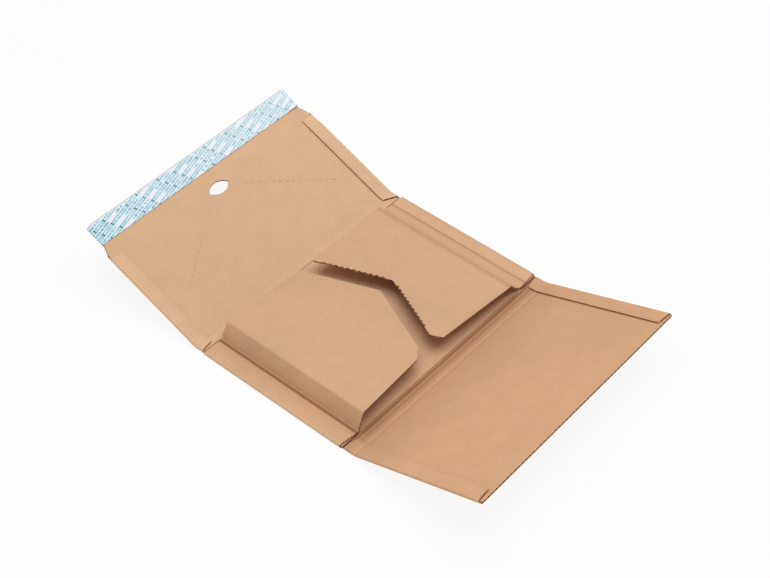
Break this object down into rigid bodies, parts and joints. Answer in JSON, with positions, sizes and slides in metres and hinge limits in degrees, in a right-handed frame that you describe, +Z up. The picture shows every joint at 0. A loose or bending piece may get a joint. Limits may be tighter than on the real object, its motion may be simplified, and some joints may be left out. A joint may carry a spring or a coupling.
{
  "type": "shipping box",
  "caption": "Wrap-around mailer of corrugated board lying open: base with a cradle of inner flaps, tear-open closing flap with finger hole and self-seal strip, and a cover panel.",
  "frame": {"origin": "middle of the base's underside, on the surface that the mailer lies on", "axes": "+X from the closing flap towards the cover panel, +Y from the near wall towards the far wall, +Z up"},
  "size_m": [0.557, 0.326, 0.0736],
  "materials": {
    "board": "matte",
    "adhesive": "satin",
    "liner": "satin"
  },
  "bodies": {
    "base": {"base_panel": "board"},
    "closing_flap": {"closing_flap": "board", "adhesive_strip": "adhesive", "release_liner": "liner"},
    "cover": {"cover_panel": "board"},
    "near_flap": {"near_inner_flap": "board"},
    "far_flap": {"far_inner_flap": "board"}
  },
  "joints": [
    {"name": "closing_flap_fold", "type": "hinge", "parent": "base", "child": "closing_flap", "pos_m": [-0.099, 0, 0.0026], "axis": [0, 1, 0], "range_deg": [0, 67]},
    {"name": "cover_fold", "type": "hinge", "parent": "base", "child": "cover", "pos_m": [0.099, 0, 0.0026], "axis": [0, -1, 0], "range_deg": [0, 69]},
    {"name": "near_flap_fold", "type": "hinge", "parent": "base", "child": "near_flap", "pos_m": [0, -0.12818, 0.02604], "axis": [1, 0, 0], "range_deg": [0, 100]},
    {"name": "far_flap_fold", "type": "hinge", "parent": "base", "child": "far_flap", "pos_m": [0, 0.11954, 0.01899], "axis": [-1, 0, 0], "range_deg": [0, 100]}
  ]
}
